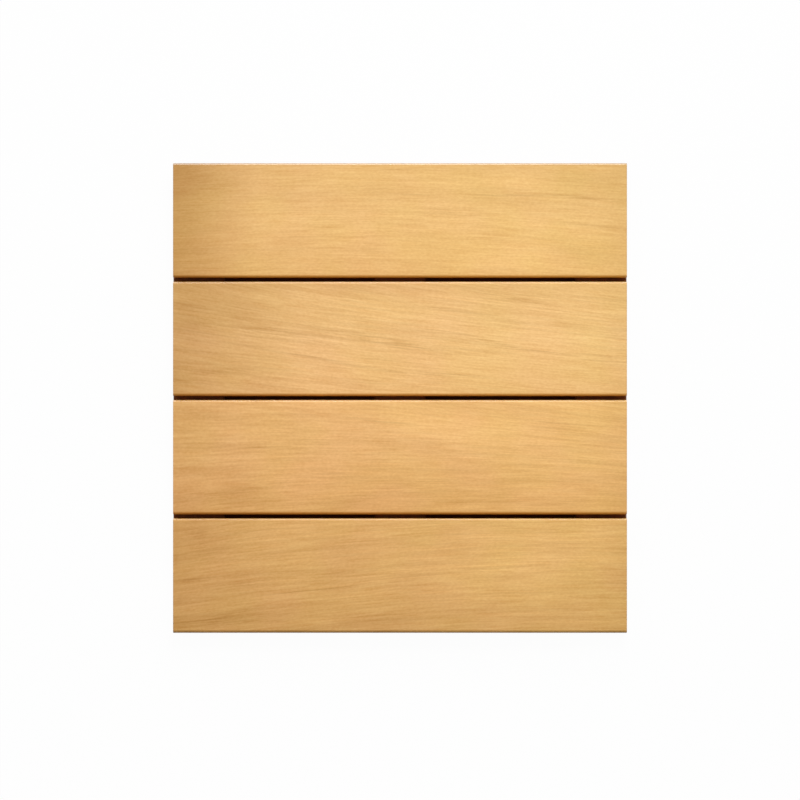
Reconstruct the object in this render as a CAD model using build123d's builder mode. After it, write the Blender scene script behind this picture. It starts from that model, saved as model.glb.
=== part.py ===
from build123d import *

import os
from math import radians, tan

# Hardwood decking board panel: four eased-edge boards laid side by side across three battens.
# Countersunk wood screws hold the boards from below, through the battens, so the walking face
# shows no fastener. The screws cut their own way into the boards, which have no pilot holes.
#
# Frame: X runs along the boards, Y across them and Z up. The origin is the centre of the
# footprint, on the plane that the battens rest on. Every size is in millimetres.

# Boards: planed stock with four eased long edges, cut square at both ends
board_count = 4
board_length = 575.0
board_width = 145.0
board_thickness = 21.0
board_edge_radius = 4.0
board_gap = 5.0

# Battens: planed stock laid flat under the boards, flush with their ends
batten_names = ("left_batten", "middle_batten", "right_batten")
batten_width = 65.0
batten_thickness = 21.0
batten_arris = 1.5
batten_side_inset = 4.0

# Screws: countersunk, with a square drive, in pairs at the end battens and single at the middle one
screws_in_a_row = (2, 1, 2)
screw_spread = 85.0
screw_length = 35.0
screw_radius = 2.25
screw_head_radius = 4.8
screw_head_angle = 90.0
drive_width = 2.8
drive_depth = 2.4

# Fits between the screws and the battens
screw_head_recess = 0.6
batten_hole_clearance = 0.4

# Places that follow from the sizes above
panel_width = board_count * board_width + (board_count - 1) * board_gap
board_pitch = board_width + board_gap
board_places = [(panel_width - board_width) / 2 - n * board_pitch for n in range(board_count)]
batten_length = panel_width - 2 * batten_side_inset
batten_pitch = (board_length - batten_width) / (len(batten_names) - 1)
batten_places = [(batten_width - board_length) / 2 + n * batten_pitch for n in range(len(batten_names))]
head_slope = tan(radians(screw_head_angle / 2))


def screw_spots(count, z):
    """Places of the screws along one batten, with so many in a row under each board."""
    row = [(n - (count - 1) / 2) * screw_spread for n in range(count)]
    return [(y + offset, z) for y in board_places for offset in row]


def make_board(y):
    """One board, laid on the battens with its middle line at y."""
    with BuildPart() as board:
        middle = batten_thickness + board_thickness / 2
        with BuildSketch(Plane((0, y, middle), x_dir=(0, 1, 0), z_dir=(1, 0, 0))):
            RectangleRounded(board_width, board_thickness, board_edge_radius)
        extrude(amount=board_length / 2, both=True)
    return board.part


def make_batten(x, screws_per_board):
    """One batten with its middle line at x, drilled through and countersunk from below."""
    with BuildPart() as batten:
        with BuildSketch(Plane.XY):
            with Locations((x, 0)):
                Rectangle(batten_width, batten_length)
        extrude(amount=batten_thickness)
        chamfer(batten.edges(), batten_arris)
        with Locations(*[Plane((x, y, z), z_dir=(0, 0, -1)) for y, z in screw_spots(screws_per_board, 0)]):
            CounterSinkHole(
                radius=screw_radius + batten_hole_clearance,
                counter_sink_radius=screw_head_radius + screw_head_recess * head_slope,
                counter_sink_angle=screw_head_angle,
            )
    return batten.part


def make_screw():
    """One screw, with the flat of its head on the origin and its shank up the Z axis."""
    neck = (screw_head_radius - screw_radius) / head_slope
    with BuildPart() as screw:
        with BuildSketch(Plane.XZ):
            with BuildLine():
                Polyline(
                    (0, 0),
                    (screw_head_radius, 0),
                    (screw_radius, neck),
                    (screw_radius, screw_length),
                    (0, screw_length),
                    close=True,
                )
            make_face()
        revolve(axis=Axis.Z)
        with BuildSketch(Plane.XY):
            Rectangle(drive_width, drive_width)
        extrude(amount=drive_depth, mode=Mode.SUBTRACT)
    return screw.part


def make_batten_screws(x, screws_per_board):
    """The screws that come up through one batten into the boards, as separate solids."""
    screw = make_screw()
    with BuildPart() as screws:
        with Locations(*[(x, y, z) for y, z in screw_spots(screws_per_board, screw_head_recess)]):
            add(screw)
    return screws.part


def write(part, name):
    """Label one finished piece and write its STEP file."""
    part.label = name
    export_step(part, f"parts/{name}.step")


os.makedirs("parts", exist_ok=True)

for number, place in enumerate(board_places, start=1):
    write(make_board(place), f"board_{number}")

for name, place, screws_per_board in zip(batten_names, batten_places, screws_in_a_row):
    write(make_batten(place, screws_per_board), name)
    write(make_batten_screws(place, screws_per_board), f"{name}_screws")
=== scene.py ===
import math

import bmesh
import bpy
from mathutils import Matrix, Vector


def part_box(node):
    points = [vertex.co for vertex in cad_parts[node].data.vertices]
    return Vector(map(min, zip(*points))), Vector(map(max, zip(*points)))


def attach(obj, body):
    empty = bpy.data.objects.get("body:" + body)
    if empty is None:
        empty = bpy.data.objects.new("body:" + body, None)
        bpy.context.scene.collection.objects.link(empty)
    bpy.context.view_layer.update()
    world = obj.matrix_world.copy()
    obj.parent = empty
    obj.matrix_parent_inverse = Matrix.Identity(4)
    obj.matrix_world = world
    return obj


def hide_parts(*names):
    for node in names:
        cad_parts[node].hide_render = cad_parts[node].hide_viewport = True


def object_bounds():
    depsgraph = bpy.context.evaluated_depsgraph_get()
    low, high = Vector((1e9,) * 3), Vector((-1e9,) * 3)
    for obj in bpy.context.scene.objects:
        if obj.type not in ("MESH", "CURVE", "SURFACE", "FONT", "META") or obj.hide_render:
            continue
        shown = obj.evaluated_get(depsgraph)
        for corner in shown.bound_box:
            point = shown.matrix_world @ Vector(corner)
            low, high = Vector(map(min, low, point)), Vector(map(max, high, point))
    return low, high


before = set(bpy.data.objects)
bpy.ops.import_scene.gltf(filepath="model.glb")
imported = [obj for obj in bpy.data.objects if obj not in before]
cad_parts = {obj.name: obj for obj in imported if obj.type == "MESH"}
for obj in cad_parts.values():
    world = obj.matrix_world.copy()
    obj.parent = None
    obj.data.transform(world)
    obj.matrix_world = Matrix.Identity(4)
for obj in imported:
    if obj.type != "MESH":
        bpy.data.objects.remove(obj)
cad_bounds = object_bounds()

# Hardwood decking board panel: four oiled, eased-edge boards on three battens whose redder, darker
# wood is partly painted shade, with threaded square-drive screws from below. Lengths are in metres
# unless a name ends in _mm.

MM = 0.001
BODY = "root"
BOARDS = ("board_1", "board_2", "board_3", "board_4")
SCREWS_IN_A_ROW = {"left_batten": 2, "middle_batten": 1, "right_batten": 2}
SMOOTH_BELOW_DEG = 30.0


# Small helpers for node trees

class Tree:
    """Adds nodes to one node tree. An input is a number, a tuple or another node's output."""

    def __init__(self, tree):
        self.tree = tree

    def node(self, kind, inputs=None, **settings):
        made = self.tree.nodes.new(kind)
        for name, value in settings.items():
            setattr(made, name, value)
        for key, value in (inputs or {}).items():
            if isinstance(value, bpy.types.NodeSocket):
                self.tree.links.new(value, made.inputs[key])
            else:
                made.inputs[key].default_value = value
        return made

    def math(self, operation, *values, clamp=False):
        inputs = dict(enumerate(values))
        return self.node("ShaderNodeMath", inputs, operation=operation, use_clamp=clamp).outputs[0]

    def vector(self, operation, *values):
        return self.node("ShaderNodeVectorMath", dict(enumerate(values)), operation=operation).outputs[0]

    def split(self, vector):
        return self.node("ShaderNodeSeparateXYZ", {0: vector}).outputs

    def join(self, x, y, z):
        return self.node("ShaderNodeCombineXYZ", {0: x, 1: y, 2: z}).outputs[0]

    def noise(self, vector, scale=1.0, detail=2.0, roughness=0.5):
        inputs = {"Vector": vector, "Scale": scale, "Detail": detail, "Roughness": roughness}
        return self.node("ShaderNodeTexNoise", inputs).outputs["Fac"]

    def total(self, first, *others):
        for value in others:
            first = self.math("ADD", first, value)
        return first

    def remap(self, value, low, high, new_low=0.0, new_high=1.0, smooth=False):
        inputs = {"Value": value, "From Min": low, "From Max": high, "To Min": new_low, "To Max": new_high}
        kind = "SMOOTHSTEP" if smooth else "LINEAR"
        return self.node("ShaderNodeMapRange", inputs, interpolation_type=kind).outputs["Result"]

    def mix(self, factor, first, second, blend="MIX"):
        inputs = {0: factor, 6: first, 7: second}
        return self.node("ShaderNodeMix", inputs, data_type="RGBA", blend_type=blend).outputs[2]

    def tinted(self, colour, tint, share=1.0):
        return self.mix(share, colour, tint, blend="MULTIPLY")


def srgb(red, green, blue):
    """A screen colour, 0 to 255, as the linear colour that a shader takes."""
    def linear(level):
        share = level / 255
        return share / 12.92 if share <= 0.04045 else ((share + 0.055) / 1.055) ** 2.4
    return (linear(red), linear(green), linear(blue), 1.0)


def new_material(name):
    material = bpy.data.materials.new(name)
    material.use_nodes = True
    material.node_tree.nodes.clear()
    return material, Tree(material.node_tree)


# Patterns in the wood. Each noise has so many cells a metre along the grain and across it, and its
# place in the noise is a step from the piece's seed.

WAVES = {"along": 3.0, "across": 9.0, "seed_step": 0.0}
THREADS = {"along": 24.0, "across": 510.0, "seed_step": 7.7, "detail": 1.0, "roughness": 0.6}
DASHES = {"along": 30.0, "across": 520.0, "seed_step": 23.9, "detail": 0.0}
FLECKS = {"along": 240.0, "across": 500.0, "seed_step": 17.2, "detail": 1.0, "roughness": 0.55}
CLOUDS = {"along": 17.0, "across": 27.0, "seed_step": 11.3}
PORES = {"along": 95.0, "across": 2600.0, "seed_step": 5.9, "detail": 0.0}
PATCHES = {"along": 14.0, "across": 22.0, "seed_step": 31.7, "detail": 1.0}

# Growth bands and growth lines, counted along the grain and from ring to ring
BANDS_ALONG, BANDS_OVER_RINGS, BANDS_ROUGHNESS = 2.4, 85.0, 0.55
LINES_ALONG, LINES_OVER_RINGS, LINES_ROUGHNESS = 10.0, 300.0, 0.6
LINES_IN_DEPTH = 60.0
LINES_SEED_STEP = 3.1

# The part of a noise's range over which a mark grows from nothing to full
DASH_RANGE = (0.56, 0.78)
PORE_RANGE = (0.68, 0.80)
PATCH_RANGE = (0.3, 0.7)

# A streak narrower than WIDE_SHADE_MM breaks up: its strength goes from the third to the fourth
# number as the threads go from the first to the second, and rises and falls with the lines
WIDE_SHADE_MM = 8.0
BREAK_WITH_THREADS = (0.30, 0.75, 0.25, 1.6)
BREAK_WITH_LINES = -0.45
STREAK_WANDER_MM = 4.0

# How dark the fine fibres are on average, and what the palest and darkest of them do to the colour
FINE_MIDDLE = 0.47
FINE_PALE = (1.24, 1.42, 1.66, 1.0)
FINE_DEEP = (0.77, 0.58, 0.33, 1.0)

# The slow patches of the heartwood
OLIVE_PATCH = (0.993, 1.005, 0.975, 1.0)
ROSE_PATCH = (1.007, 0.995, 1.025, 1.0)

# Where the painted shade at a piece's right end and the tint of its right half begin
RIGHT_PAINTED_SHADE_REACH = 0.04
RIGHT_TINT_FROM = -0.05

# How squarely a surface faces along the grain where the end grain begins and is full, and how
# squarely it faces sideways where the coat on the rounded edge does
END_RANGE = (0.75, 0.95)
COAT_RANGE = (0.25, 0.75)
SIDE_CURVE = 0.6
END_TINT_SHARE = 0.9

# The finish. A face is matt, a sawn end rougher, and the relief fades out towards the sides.
WOOD_ROUGHNESS = 0.60
ROUGHER_END = 0.18
THREAD_ROUGHNESS = -0.06
RELIEF = 0.15
RELIEF_DEPTH = 0.1 * MM
THREADS_HEIGHT = 0.6
LINES_HEIGHT = 0.4
COAT_ROUGHNESS = 0.44
COAT_IOR = 1.8


def streak_group():
    """A node group: 1 at the middle of a long soft ellipse that lies along the grain, 0 far from it."""
    group = bpy.data.node_groups.new("grain_streak", "ShaderNodeTree")
    for name, kind in (("Place", "NodeSocketVector"), ("Centre", "NodeSocketVector"),
                       ("Angle", "NodeSocketFloat"), ("Half Length", "NodeSocketFloat"),
                       ("Half Width", "NodeSocketFloat")):
        group.interface.new_socket(name, in_out="INPUT", socket_type=kind)
    group.interface.new_socket("Mask", in_out="OUTPUT", socket_type="NodeSocketFloat")
    t = Tree(group)
    given = t.node("NodeGroupInput").outputs
    offset = t.vector("SUBTRACT", given["Place"], given["Centre"])
    turned = t.node("ShaderNodeVectorRotate", {"Vector": offset, "Angle": given["Angle"]},
                    rotation_type="Z_AXIS", invert=True).outputs[0]
    x, y, _ = t.split(turned)
    x = t.math("DIVIDE", x, given["Half Length"])
    y = t.math("DIVIDE", y, given["Half Width"])
    squares = t.math("ADD", t.math("MULTIPLY", x, x), t.math("MULTIPLY", y, y))
    mask = t.math("EXPONENT", t.math("MULTIPLY", squares, -1.0))
    t.node("NodeGroupOutput", {0: mask})
    return group


def wood_material(name, centre, along_y, look, streaks=()):
    """Planed, oiled hardwood. Growth bands, fibre lines and pores run along the piece, and its ends
    show end grain."""
    material, t = new_material(name)
    seed = look["seed"]
    place = t.node("ShaderNodeTexCoord").outputs["Object"]
    x, y, z = t.split(t.vector("SUBTRACT", place, tuple(centre)))
    if along_y:
        x, y = y, x

    def grain(along, across, seed_step, over=None, **settings):
        """Noise with so many cells a metre along the grain and across it."""
        spot = t.join(t.math("MULTIPLY_ADD", x, along, seed + seed_step),
                      t.math("MULTIPLY", over or run, across), t.math("MULTIPLY", z, across))
        return t.noise(spot, **settings)

    def swing(value, depth):
        """A value round a half as a change of darkness round nothing."""
        return t.math("MULTIPLY_ADD", value, depth, -0.5 * depth)

    # The grain's run: a slope, a bend and a fan, with slow waves in it
    wave = swing(grain(**WAVES, over=y), 4 * look["wave_mm"] * MM)
    slope = t.math("MULTIPLY", x, math.tan(math.radians(look["slope_deg"])))
    bend = t.math("MULTIPLY", t.math("MULTIPLY", x, x), look["bend_per_m"])
    fan = t.math("MULTIPLY", t.math("MULTIPLY", x, y), look["fan_per_m"])
    run = t.math("SUBTRACT", y, t.total(slope, bend, fan, wave))

    # Growth rings lie round a pith far to the side, so that the ends show arcs
    pith_y, pith_z = (value * MM for value in look["pith_mm"])
    from_pith = t.join(0.0, t.math("SUBTRACT", run, pith_y), t.math("SUBTRACT", z, pith_z))
    ring = t.node("ShaderNodeVectorMath", {0: from_pith}, operation="LENGTH").outputs["Value"]
    bands = t.noise(t.join(t.math("MULTIPLY_ADD", x, BANDS_ALONG, seed),
                           t.math("MULTIPLY", ring, BANDS_OVER_RINGS), seed), roughness=BANDS_ROUGHNESS)
    lines = t.noise(t.join(t.math("MULTIPLY_ADD", x, LINES_ALONG, seed + LINES_SEED_STEP),
                           t.math("MULTIPLY", ring, LINES_OVER_RINGS),
                           t.math("MULTIPLY", z, LINES_IN_DEPTH)), roughness=LINES_ROUGHNESS)

    threads, flecks, clouds = grain(**THREADS), grain(**FLECKS), grain(**CLOUDS)
    dashes = t.remap(grain(**DASHES), *DASH_RANGE, smooth=True)
    pores = t.remap(grain(**PORES), *PORE_RANGE, smooth=True)
    patches = t.remap(grain(**PATCHES), *PATCH_RANGE, smooth=True)

    # Darkness: 0 is the palest wood and 1 the darkest
    parts = [swing(bands, look["bands"]), swing(lines, look["lines"]), swing(clouds, look["clouds"])]
    broken = t.math("ADD", t.remap(threads, *BREAK_WITH_THREADS), t.math("ADD", lines, BREAK_WITH_LINES))
    group = bpy.data.node_groups.get("grain_streak") or streak_group()
    wander = t.math("ADD", wave, swing(lines, STREAK_WANDER_MM * MM))
    streak_place = t.join(x, t.math("SUBTRACT", y, wander), 0.0)
    for x_mm, y_mm, angle, half_length, half_width, strength in streaks:
        inputs = {"Place": streak_place, "Centre": (x_mm * MM, y_mm * MM, 0.0),
                  "Angle": math.radians(angle), "Half Length": half_length * MM,
                  "Half Width": half_width * MM}
        mask = t.node("ShaderNodeGroup", inputs, node_tree=group).outputs[0]
        if half_width < WIDE_SHADE_MM:
            mask = t.math("MULTIPLY", mask, broken)
        parts.append(t.math("MULTIPLY", mask, strength))
    end = look["half_length"]
    # Painted shade: darker towards the left and right ends, and in straight gradients along and across the
    # board
    parts.append(t.remap(x, -end, look["left_reach_mm"] * MM - end, look["left_painted_shade"], 0.0))
    parts.append(t.remap(x, end - RIGHT_PAINTED_SHADE_REACH, end, 0.0, look["right_painted_shade"]))
    parts += [t.math("MULTIPLY", x, look["painted_shade_along_per_m"]), t.math("MULTIPLY", y, look["painted_shade_across_per_m"])]
    dark = t.math("ADD", t.total(*parts), look["tone"], clamp=True)
    fine = t.total(swing(threads, look["threads"]), swing(flecks, look["flecks"]),
                   t.math("MULTIPLY", dashes, look["dashes"]), t.math("MULTIPLY", pores, look["pores"]))
    fine = t.math("ADD", fine, FINE_MIDDLE, clamp=True)

    colour = t.mix(dark, look["pale"], look["deep"])
    colour = t.tinted(colour, t.mix(fine, FINE_PALE, FINE_DEEP))
    colour = t.tinted(colour, t.mix(patches, OLIVE_PATCH, ROSE_PATCH))
    colour = t.tinted(colour, look["tint"])
    colour = t.tinted(colour, look["right_tint"], t.remap(x, RIGHT_TINT_FROM, end))

    # Sawn ends take the oil unlike the face. The long sides and their rounded edges get painted shade, its
    # colour chosen by whether the side faces north or south.
    facing_x, facing_y, _ = (t.math("ABSOLUTE", value) for value in
                             t.split(t.node("ShaderNodeNewGeometry").outputs["Normal"]))
    if along_y:
        facing_x, facing_y = facing_y, facing_x
    on_end = t.remap(facing_x, *END_RANGE, smooth=True)
    on_side = t.math("POWER", facing_y, SIDE_CURVE)
    on_north = t.math("GREATER_THAN", y, 0.0)
    colour = t.tinted(colour, look["end_tint"], t.math("MULTIPLY", on_end, END_TINT_SHARE))
    colour = t.tinted(colour, t.mix(on_north, *look["side_painted_shades"]), on_side)

    roughness = t.total(swing(threads, THREAD_ROUGHNESS), t.math("MULTIPLY", on_end, ROUGHER_END),
                        WOOD_ROUGHNESS)
    height = t.math("MULTIPLY_ADD", threads, THREADS_HEIGHT, t.math("MULTIPLY", lines, LINES_HEIGHT))
    bump = t.node("ShaderNodeBump", {"Strength": t.math("MULTIPLY_ADD", on_side, -RELIEF, RELIEF),
                                     "Distance": RELIEF_DEPTH,
                                     "Height": t.math("SUBTRACT", height, pores)}).outputs[0]
    inputs = {"Base Color": colour, "Roughness": roughness, "Normal": bump,
              "Specular IOR Level": look["specular"]}
    if look["edge_coats"]:
        # Oil gathers on the rounded edges, which shine more than the face
        south, north = look["edge_coats"]
        coat = t.math("MULTIPLY_ADD", on_north, north - south, south)
        inputs["Coat Weight"] = t.math("MULTIPLY", coat, t.remap(facing_y, *COAT_RANGE, smooth=True))
        inputs["Coat Roughness"] = COAT_ROUGHNESS
        inputs["Coat IOR"] = COAT_IOR
    shader = t.node("ShaderNodeBsdfPrincipled", inputs)
    t.node("ShaderNodeOutputMaterial", {"Surface": shader.outputs[0]})
    return material


# Painted shade on the long sides and rounded edges of boards and battens. Of a board's two long sides, the
# south one is away from the light.
GAP_SOUTH_PAINTED_SHADE = (0.74, 0.44, 0.01, 1.0)
GAP_NORTH_PAINTED_SHADE = (0.82, 0.82, 0.70, 1.0)
OUTER_SOUTH_PAINTED_SHADE = (0.66, 0.59, 0.42, 1.0)
OUTER_NORTH_PAINTED_SHADE = (0.51, 0.46, 0.37, 1.0)
BATTEN_SIDE_PAINTED_SHADE = (0.9, 0.86, 0.8, 1.0)

# Looks. The numbers from slope_deg to wave_mm shape the grain's run round the pith. The tone and
# those from painted_shade_along_per_m to clouds make the darkness, and those from threads to pores the fine
# fibres. Of the darkness, painted_shade_along_per_m, painted_shade_across_per_m, left_painted_shade and
# right_painted_shade are painted shade, darker towards the ends and in gradients along and across the board.
# edge_coats are the shares of coat on the edges of the two long sides, or None.
GOLDEN = {
    "pale": srgb(252, 206, 138), "deep": srgb(180, 129, 65), "end_tint": (0.62, 0.52, 0.42, 1.0),
    "right_tint": (0.975, 1.01, 0.95, 1.0), "side_painted_shades": (GAP_SOUTH_PAINTED_SHADE, GAP_NORTH_PAINTED_SHADE), "specular": 0.05,
    "edge_coats": (0.3, 1.0), "half_length": 0.2875,
    "painted_shade_along_per_m": -0.15, "painted_shade_across_per_m": 0.0, "left_painted_shade": 0.0, "left_reach_mm": 130.0,
    "right_painted_shade": 0.10, "bands": 0.24, "lines": 0.37, "clouds": 0.18,
    "threads": 0.41, "flecks": 0.33, "dashes": 0.06, "pores": 0.07,
}
BOARD_LOOKS = {
    "board_1": {
        **GOLDEN, "seed": 1.7, "pith_mm": (190.0, -260.0),
        "slope_deg": -0.8, "bend_per_m": -0.10, "fan_per_m": 0.15, "wave_mm": 2.0,
        "tone": 0.18, "painted_shade_across_per_m": 0.7, "left_painted_shade": 0.42, "left_reach_mm": 110.0,
        "bands": 0.18, "lines": 0.20, "threads": 0.34, "tint": (1.0, 0.98, 0.965, 1.0),
        "side_painted_shades": (GAP_SOUTH_PAINTED_SHADE, OUTER_NORTH_PAINTED_SHADE), "edge_coats": (0.3, 0.8),
    },
    "board_2": {
        **GOLDEN, "seed": 13.2, "pith_mm": (-260.0, -180.0),
        "slope_deg": -6.5, "bend_per_m": 0.02, "fan_per_m": -0.4, "wave_mm": 2.5,
        "tone": 0.10, "painted_shade_across_per_m": 1.0, "left_painted_shade": 0.36, "left_reach_mm": 170.0,
        "lines": 0.34, "tint": (1.0, 0.963, 0.995, 1.0),
    },
    "board_3": {
        **GOLDEN, "seed": 24.9, "pith_mm": (-150.0, -300.0),
        "slope_deg": -1.2, "bend_per_m": -0.12, "fan_per_m": -0.9, "wave_mm": 2.5,
        "tone": 0.15, "painted_shade_across_per_m": -0.45, "left_painted_shade": 0.13,
        "bands": 0.30, "tint": (1.0, 0.912, 0.88, 1.0),
    },
    "board_4": {
        **GOLDEN, "seed": 37.4, "pith_mm": (240.0, -220.0),
        "slope_deg": 3.6, "bend_per_m": -0.10, "fan_per_m": 0.0, "wave_mm": 4.0,
        "tone": 0.33, "painted_shade_along_per_m": -0.30, "painted_shade_across_per_m": -0.55, "left_painted_shade": 0.10,
        "bands": 0.32, "tint": (1.0, 0.928, 0.866, 1.0), "side_painted_shades": (OUTER_SOUTH_PAINTED_SHADE, GAP_NORTH_PAINTED_SHADE),
    },
}
# The battens' wood is redder and darker than the boards': partly its own colour, partly painted shade for
# the gaps
BATTEN_LOOK = {
    **GOLDEN, "pale": srgb(160, 98, 50), "deep": srgb(92, 46, 20), "end_tint": (0.6, 0.5, 0.42, 1.0),
    "right_tint": (1.0, 1.0, 1.0, 1.0), "side_painted_shades": (BATTEN_SIDE_PAINTED_SHADE, BATTEN_SIDE_PAINTED_SHADE), "specular": 0.25,
    "edge_coats": None, "half_length": 0.2935, "pith_mm": (60.0, -70.0),
    "slope_deg": 0.6, "bend_per_m": 0.05, "fan_per_m": 0.0, "wave_mm": 3.0,
    "tone": 0.4, "painted_shade_along_per_m": 0.0, "bands": 0.5, "lines": 0.5, "threads": 0.34,
    "tint": (1.0, 0.96, 0.9, 1.0),
}
BATTEN_SEED = 51.0
BATTEN_SEED_STEP = 9.3

# Streaks in the face of each board: x, y, angle, half length, half width, strength. The thin ones
# are lines in the grain, the wide ones are shades, and a negative strength makes one paler.
# Lengths are in millimetres and angles in degrees.
BOARD_STREAKS = {
    "board_1": (
        (150, 32, 0, 55, 1.4, 0.18), (235, 29, -5, 50, 1.6, 0.24), (12, 32, 0, 30, 1.0, 0.11),
        (72, 10, 0, 34, 4.5, 0.14), (250, -7, -5, 36, 2.5, 0.15), (232, -38, -4, 34, 9.0, 0.14),
        (-6, 65, 0, 20, 1.4, 0.15), (-42, -37, 0, 22, 6.0, 0.07), (225, 50, -2, 50, 8.0, 0.13),
        (150, 48, -1, 60, 8.0, -0.10), (150, -48, 0, 90, 20.0, -0.12), (-262, 55, 0, 30, 20.0, 0.11),
        (-40, 52, 0, 150, 20.0, -0.08),
    ),
    "board_2": (
        (-10, -5, -11, 80, 5.5, 0.16), (-20, -8, -12.5, 34, 1.4, 0.20), (125, -6, -11, 60, 3.0, 0.17),
        (225, -22, -6, 60, 3.5, 0.17), (-95, -27, -10, 90, 2.2, 0.20), (146, 51, -7, 44, 6.0, 0.17),
        (-200, 33, -6, 45, 14.0, 0.11), (-220, -41, 2, 55, 4.5, 0.09), (75, -48, -4, 80, 2.0, 0.13),
        (-140, 8, -8, 70, 7.0, 0.15), (60, 36, -8, 60, 1.6, 0.12), (150, -45, -5, 90, 12.0, -0.16),
        # The last of board_2's streaks, a dark band along its north edge, is painted shade
        (190, -28, -3, 80, 34.0, -0.12), (-265, 20, -3, 24, 30.0, 0.10), (0, 69, 0, 420, 10.0, 0.15),
    ),
    "board_3": (
        (-26, 45, -7, 36, 1.5, 0.23), (50, 50, -9, 26, 1.5, 0.13), (-124, 59, -3, 24, 6.0, 0.08),
        (-210, -55, 4, 60, 14.0, 0.12), (-185, -38, 10, 60, 4.0, 0.10), (-86, -20, 0, 18, 3.0, 0.19),
        (-140, -3, 0, 30, 3.0, 0.09), (82, -55, -1, 46, 2.4, 0.12), (28, -42, 0, 36, 2.0, 0.11),
        (258, -31, 0, 24, 1.5, 0.12), (193, 42, -2, 28, 5.0, 0.07), (-228, 50, -2, 40, 8.0, 0.12),
        (-188, 13, 0, 55, 2.0, 0.10), (80, 36, -3, 85, 18.0, -0.22), (-215, -20, 0, 50, 28.0, 0.06),
    ),
    "board_4": (
        (-100, -16, 6.3, 54, 1.2, 0.27), (10, 0, 1, 50, 3.5, 0.11), (-60, 2, 3, 60, 3.0, 0.08),
        (115, 8, 4, 60, 2.2, 0.08), (-184, -11, 6, 32, 1.5, 0.11), (-236, 33, 9, 44, 3.0, 0.10),
        (-254, 53, 6, 14, 5.0, 0.11), (-226, -52, 3, 60, 7.0, 0.17), (-20, -52, 3, 34, 6.0, 0.08),
        (-30, 46, 2, 24, 4.0, 0.08), (-258, -6, 3, 30, 2.0, 0.10), (150, 0, 2, 110, 50.0, -0.10),
        (-157, -47, 3, 40, 14.0, 0.08),
    ),
}


# Boards: the solids' form, with a fine arris at the saw cut ends

BOARD_EDGE_RADIUS = 4.0 * MM
END_ARRIS = 0.7 * MM
ARRIS_SHOULDER = 0.29
CORNER_STEPS = 12


def rounded_profile(width, height, radius):
    """Points round a rectangle with rounded corners, centred on the origin."""
    points = []
    for turn, (side_y, side_z) in enumerate(((1, 1), (-1, 1), (-1, -1), (1, -1))):
        for step in range(CORNER_STEPS + 1):
            angle = math.radians(90 * (turn + step / CORNER_STEPS))
            points.append((side_y * (width / 2 - radius) + radius * math.cos(angle),
                           side_z * (height / 2 - radius) + radius * math.sin(angle)))
    return points


def board_piece(node):
    """A board with the solid's size and rounded edges, its ends eased by a small arris."""
    low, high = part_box(node)
    middle = (low + high) / 2
    width, height = high.y - low.y, high.z - low.z
    shoulder = END_ARRIS * ARRIS_SHOULDER
    stations = []
    for side in (-1, 1):
        end = middle.x + side * (high.x - low.x) / 2
        rows = [(end, END_ARRIS), (end - side * shoulder, shoulder), (end - side * END_ARRIS, 0.0)]
        stations += rows if side < 0 else rows[::-1]
    mesh = bmesh.new()
    rings = []
    for x, inset in stations:
        profile = rounded_profile(width - 2 * inset, height - 2 * inset, BOARD_EDGE_RADIUS - inset)
        rings.append([mesh.verts.new((x, middle.y + y, middle.z + z)) for y, z in profile])
    count = len(rings[0])
    for first, second in zip(rings, rings[1:]):
        for n in range(count):
            mesh.faces.new((first[n], second[n], second[(n + 1) % count], first[(n + 1) % count]))
    mesh.faces.new(rings[0])
    mesh.faces.new(rings[-1][::-1])
    bmesh.ops.recalc_face_normals(mesh, faces=mesh.faces)
    material = wood_material(f"{node}_wood", middle, False, BOARD_LOOKS[node], BOARD_STREAKS[node])
    finish_piece(mesh, f"{node}_wood", node, material)


# Screws: the solid's head and length, with a rolled thread, a drill point and a square recess

SCREW_SPREAD = 85.0 * MM
HEAD_RADIUS = 4.8 * MM
HEAD_LIP = 0.12 * MM
SHANK_RADIUS = 1.75 * MM
CORE_RADIUS = 1.5 * MM
THREAD_RADIUS = 2.25 * MM
THREAD_PITCH = 2.2 * MM
THREAD_FROM = 12.0 * MM
THREAD_TO_TIP = 1.5 * MM
THREAD_HALF_FOOT = 0.42 * MM
THREAD_HALF_CREST = 0.05 * MM
THREAD_SUNK = 0.2 * MM
POINT_LENGTH = 4.5 * MM
DRIVE_WIDTH = 2.8 * MM
DRIVE_DEPTH = 2.4 * MM
DRIVE_DIMPLE = 0.2 * MM
ROUND_STEPS = 24

# The thread's ridge grows and fades over so many turns, and stands on so much of the core at least
TURNS_TO_GROW = 0.6
TURNS_TO_FADE = 1.5
LEAST_CORE = 0.2

# The blunt shoulder of the point: its share of the core's radius, and of the point's length to go
POINT_SHOULDER = (0.55, 0.35)

# How far the shank runs out into the cone above it and the thread's core below it
CONE_BLEND = 0.4 * MM
CONE_RUN_OUT = 0.5 * MM
CORE_RUN_IN = 0.6 * MM


def circle(radius):
    angles = [2 * math.pi * n / ROUND_STEPS for n in range(ROUND_STEPS)]
    return [(radius * math.cos(angle), radius * math.sin(angle)) for angle in angles]


def square(width):
    """As many points round a square as a circle has, at the same angles."""
    points = []
    for x, y in circle(1.0):
        reach = width / 2 / max(abs(x), abs(y))
        points.append((x * reach, y * reach))
    return points


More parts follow.
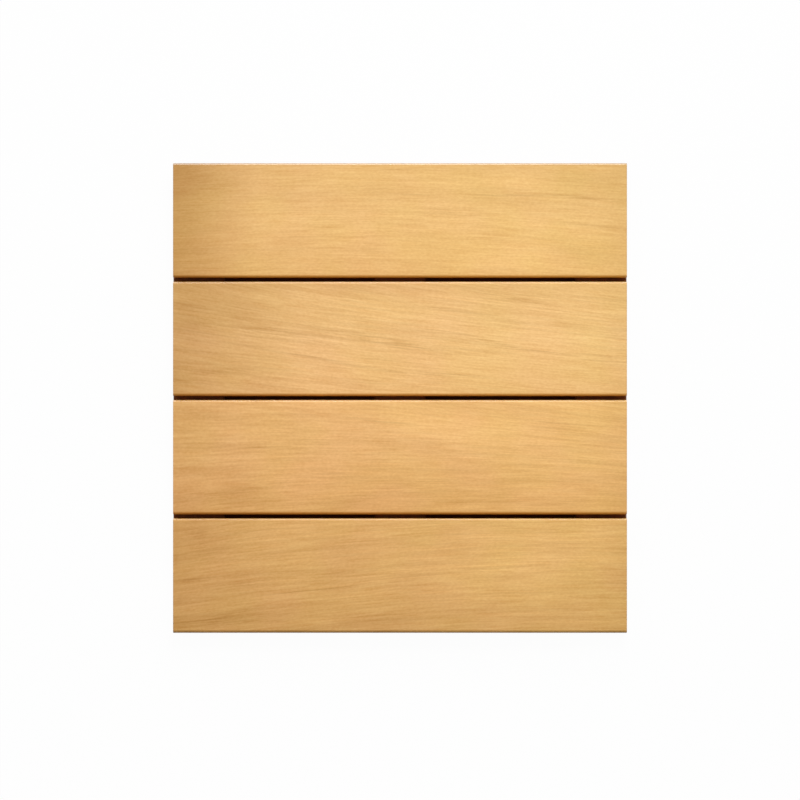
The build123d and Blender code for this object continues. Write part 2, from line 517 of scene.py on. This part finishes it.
def add_screw(mesh, foot, length):
    """One screw in the mesh, its head's flat at the foot and its point straight above it."""
    def ring(outline, z):
        return [mesh.verts.new((foot.x + x, foot.y + y, foot.z + z)) for x, y in outline]

    # From the floor of the recess out over the rim, down the cone and along the shank to the point
    neck = HEAD_RADIUS - SHANK_RADIUS
    point_width, point_to_go = POINT_SHOULDER
    rings = [ring(square(DRIVE_WIDTH * 0.5), DRIVE_DEPTH),
             ring(square(DRIVE_WIDTH - HEAD_LIP), DRIVE_DEPTH - HEAD_LIP),
             ring(square(DRIVE_WIDTH), HEAD_LIP),
             ring(square(DRIVE_WIDTH + 2 * HEAD_LIP), 0.0),
             ring(circle(HEAD_RADIUS - 1.6 * HEAD_LIP), 0.0),
             ring(circle(HEAD_RADIUS - 0.45 * HEAD_LIP), 0.3 * HEAD_LIP),
             ring(circle(HEAD_RADIUS - HEAD_LIP), HEAD_LIP),
             ring(circle(SHANK_RADIUS + CONE_BLEND), neck - CONE_BLEND),
             ring(circle(SHANK_RADIUS), neck + CONE_RUN_OUT),
             ring(circle(SHANK_RADIUS), THREAD_FROM - CORE_RUN_IN),
             ring(circle(CORE_RADIUS), THREAD_FROM),
             ring(circle(CORE_RADIUS), length - POINT_LENGTH),
             ring(circle(CORE_RADIUS * point_width), length - POINT_LENGTH * point_to_go)]
    for first, second in zip(rings, rings[1:]):
        for n in range(ROUND_STEPS):
            after = (n + 1) % ROUND_STEPS
            mesh.faces.new((first[n], first[after], second[after], second[n]))
    for outline, z in ((rings[0], DRIVE_DEPTH + DRIVE_DIMPLE), (rings[-1], length)):
        tip = mesh.verts.new((foot.x, foot.y, foot.z + z))
        for n in range(ROUND_STEPS):
            mesh.faces.new((outline[n], outline[(n + 1) % ROUND_STEPS], tip))

    # The thread is one ridge that winds up the core and fades out at both ends
    turns = (length - THREAD_TO_TIP - THREAD_FROM) / THREAD_PITCH
    count = int(turns * ROUND_STEPS)
    ridge = []
    for step in range(count + 1):
        angle = 2 * math.pi * step / ROUND_STEPS
        z = THREAD_FROM + THREAD_PITCH * step / ROUND_STEPS
        core = CORE_RADIUS * min(1.0, max(LEAST_CORE, (length - z) / POINT_LENGTH))
        rise = min(1.0, step / (TURNS_TO_GROW * ROUND_STEPS), (count - step) / (TURNS_TO_FADE * ROUND_STEPS))
        height = rise * (THREAD_RADIUS - CORE_RADIUS) * (core / CORE_RADIUS) ** 0.5
        crest = core + height - THREAD_HALF_CREST * (1 - rise)
        section = ((core - THREAD_SUNK, z - THREAD_HALF_FOOT), (crest, z - THREAD_HALF_CREST),
                   (crest, z + THREAD_HALF_CREST), (core - THREAD_SUNK, z + THREAD_HALF_FOOT))
        cosine, sine = math.cos(angle), math.sin(angle)
        ridge.append([mesh.verts.new((foot.x + r * cosine, foot.y + r * sine, foot.z + h))
                      for r, h in section])
    for first, second in zip(ridge, ridge[1:]):
        for n in range(4):
            after = (n + 1) % 4
            mesh.faces.new((first[n], first[after], second[after], second[n]))
    mesh.faces.new(ridge[0])
    mesh.faces.new(ridge[-1][::-1])


# Steel: turning marks, so many a metre across the screw and along it, and patches of grime
MARKS_ACROSS, MARKS_ALONG = 400.0, 9000.0
MARKS_DEPTH = 0.04 * MM
MARKS_RELIEF = 0.25
GRIME_CELLS = 700.0
GRIME_RANGE = (0.45, 0.75)
STEEL_ROUGHNESS, ROUGHER_MARKS, ROUGHER_GRIME = 0.2, 0.16, 0.2


def steel_material():
    """Bright stainless steel with fine turning marks and a little handling grime."""
    material, t = new_material("screw_steel")
    place = t.node("ShaderNodeTexCoord").outputs["Object"]
    x, y, z = t.split(place)
    marks = t.noise(t.join(t.math("MULTIPLY", x, MARKS_ACROSS), t.math("MULTIPLY", y, MARKS_ACROSS),
                           t.math("MULTIPLY", z, MARKS_ALONG)))
    grime = t.remap(t.noise(place, GRIME_CELLS, detail=3.0, roughness=0.6), *GRIME_RANGE, smooth=True)
    roughness = t.total(t.math("MULTIPLY", grime, ROUGHER_GRIME),
                        t.math("MULTIPLY_ADD", marks, ROUGHER_MARKS, STEEL_ROUGHNESS))
    inputs = {"Strength": MARKS_RELIEF, "Distance": MARKS_DEPTH, "Height": marks}
    shader = t.node("ShaderNodeBsdfPrincipled", {
        "Base Color": t.mix(grime, srgb(205, 204, 201), srgb(150, 146, 138)), "Metallic": 1.0,
        "Roughness": roughness, "Normal": t.node("ShaderNodeBump", inputs).outputs[0]})
    t.node("ShaderNodeOutputMaterial", {"Surface": shader.outputs[0]})
    return material


def screw_piece(batten, material):
    """All the screws of one batten, standing where their solids stand."""
    node = f"{batten}_screws"
    low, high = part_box(node)
    middle_x = (low.x + high.x) / 2
    count = SCREWS_IN_A_ROW[batten]
    mesh = bmesh.new()
    for board in BOARDS:
        board_low, board_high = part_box(board)
        for n in range(count):
            y = (board_low.y + board_high.y) / 2 + (n - (count - 1) / 2) * SCREW_SPREAD
            add_screw(mesh, Vector((middle_x, y, low.z)), high.z - low.z)
    bmesh.ops.recalc_face_normals(mesh, faces=mesh.faces)
    finish_piece(mesh, f"{node}_threaded", node, material)


def finish_piece(mesh, name, node, material):
    """Makes the mesh an object that stands for a node and takes its finish from a slot."""
    data = bpy.data.meshes.new(name)
    for face in mesh.faces:
        face.smooth = True
    for edge in mesh.edges:
        edge.smooth = edge.calc_face_angle(0.0) < math.radians(SMOOTH_BELOW_DEG)
    mesh.to_mesh(data)
    mesh.free()
    data.materials.append(material)
    piece = bpy.data.objects.new(name, data)
    bpy.context.scene.collection.objects.link(piece)
    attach(piece, BODY)
    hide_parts(node)


for board in BOARDS:
    board_piece(board)

steel = steel_material()
for number, batten in enumerate(SCREWS_IN_A_ROW):
    low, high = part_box(batten)
    look = {**BATTEN_LOOK, "seed": BATTEN_SEED + BATTEN_SEED_STEP * number}
    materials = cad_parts[batten].data.materials
    materials.clear()
    materials.append(wood_material(f"{batten}_wood", (low + high) / 2, True, look))
    screw_piece(batten, steel)


# Floor, light and camera

FLOOR_SIZE = 12.0
FLOOR_DROP = 0.0002
FLOOR_WHITE_SHARE = 0.97
FLOOR_FADE = 0.02
OPEN_FLOOR = (0.82, 0.82, 0.81, 1.0)
PAINTED_SHADOW_UNDER_PANEL = (0.27, 0.08, 0.025, 1.0)
WHITE = (1.0, 1.0, 1.0, 1.0)


def floor_material():
    """Pale floor. To the camera it is white apart from a faint shadow, and under the panel it is painted
    dark brown as shadow.
    """
    material, t = new_material("pale_floor")
    paths = t.node("ShaderNodeLightPath").outputs
    mirrored = t.math("MAXIMUM", paths["Is Glossy Ray"], paths["Is Transmission Ray"])
    seen = t.math("MAXIMUM", paths["Is Camera Ray"], mirrored)
    x, y, _ = t.split(t.node("ShaderNodeTexCoord").outputs["Object"])
    high = cad_bounds[1]
    outside = t.math("MAXIMUM", t.math("SUBTRACT", t.math("ABSOLUTE", x), high.x),
                     t.math("SUBTRACT", t.math("ABSOLUTE", y), high.y))
    open_floor = t.remap(outside, -FLOOR_FADE, 0.0, smooth=True)
    share = t.math("MULTIPLY", t.math("MULTIPLY", seen, open_floor), FLOOR_WHITE_SHARE)
    # Under the panel the floor is painted dark brown shadow, fading to the open floor at the panel's edge
    shade = t.mix(open_floor, PAINTED_SHADOW_UNDER_PANEL, OPEN_FLOOR)
    plain = t.node("ShaderNodeBsdfDiffuse", {"Color": shade})
    white = t.node("ShaderNodeEmission", {"Color": WHITE, "Strength": 1.0})
    lit = t.node("ShaderNodeMixShader", {0: share, 1: plain.outputs[0], 2: white.outputs[0]})
    clear = t.node("ShaderNodeBsdfTransparent")
    behind = t.node("ShaderNodeNewGeometry").outputs["Backfacing"]
    both = t.node("ShaderNodeMixShader", {0: behind, 1: lit.outputs[0], 2: clear.outputs[0]})
    t.node("ShaderNodeOutputMaterial", {"Surface": both.outputs[0]})
    return material


bpy.ops.mesh.primitive_plane_add(size=FLOOR_SIZE, location=(0.0, 0.0, -FLOOR_DROP))
floor = bpy.context.object
floor.name = "floor"
floor.data.materials.append(floor_material())

# The camera sees a white world. The panel is lit by a dimmer one, brighter to the north.
AMBIENT = 0.33
AMBIENT_TO_NORTH = 0.24

world = bpy.data.worlds.new("studio")
world.use_nodes = True
world.node_tree.nodes.clear()
sky = Tree(world.node_tree)
paths = sky.node("ShaderNodeLightPath").outputs
seen = sky.math("MAXIMUM", paths["Is Camera Ray"], paths["Is Transmission Ray"])
_, northward, _ = sky.split(sky.node("ShaderNodeTexCoord").outputs["Generated"])
ambient = sky.math("MULTIPLY_ADD", northward, AMBIENT_TO_NORTH, AMBIENT)
strength = sky.mix(seen, ambient, WHITE)
background = sky.node("ShaderNodeBackground", {"Color": WHITE, "Strength": strength})
sky.node("ShaderNodeOutputWorld", {"Surface": background.outputs[0]})
bpy.context.scene.world = world


def aim(item, target):
    item.rotation_mode = "QUATERNION"
    item.rotation_quaternion = (Vector(target) - item.location).to_track_quat("-Z", "Y")


def lamp(name, kind, place, target, energy, diffuse=True, **settings):
    """A lamp that lights surfaces and shows in no shine, or with diffuse off the other way round."""
    data = bpy.data.lights.new(name, kind)
    data.energy = energy
    for key, value in settings.items():
        setattr(data, key, value)
    item = bpy.data.objects.new(name, data)
    bpy.context.scene.collection.objects.link(item)
    item.location = place
    item.visible_diffuse = diffuse
    item.visible_glossy = not diffuse
    aim(item, target)


BOX_SIZE = {"shape": "RECTANGLE", "size": 0.8, "size_y": 0.5}
STRIP_SIZE = {"shape": "RECTANGLE", "size": 3.2, "size_y": 0.6}
FACE_SPOT = (0.0, 0.0, 0.03)

lamp("key", "SUN", (0.3, 1.35, 2.4), (0.0, 0.0, 0.0), 1.44, angle=math.radians(14))
lamp("north_box", "AREA", (0.12, 0.95, 0.95), (0.05, 0.0, 0.0), 4.8, **BOX_SIZE)
lamp("low_strip", "AREA", (0.0, 3.0, 0.40), FACE_SPOT, 8.0, **STRIP_SIZE)
lamp("edge_strip", "AREA", (0.0, 3.0, 0.34), FACE_SPOT, 160.0, diffuse=False, **STRIP_SIZE)

# The photo's frame is this wide at the boards' upper face
PHOTO_WIDTH = 1.0135
CAMERA_ABOVE_FACE = 12.0
PANEL_BELOW_MIDDLE = 0.0025
face = cad_bounds[1].z
camera_data = bpy.data.cameras.new("camera")
camera_data.lens = camera_data.sensor_width / 2 * CAMERA_ABOVE_FACE / (PHOTO_WIDTH / 2)
camera = bpy.data.objects.new("camera", camera_data)
camera.location = (0.0, -PANEL_BELOW_MIDDLE, face + CAMERA_ABOVE_FACE)
bpy.context.scene.collection.objects.link(camera)
bpy.context.scene.camera = camera
bpy.context.scene.view_settings.view_transform = "Standard"
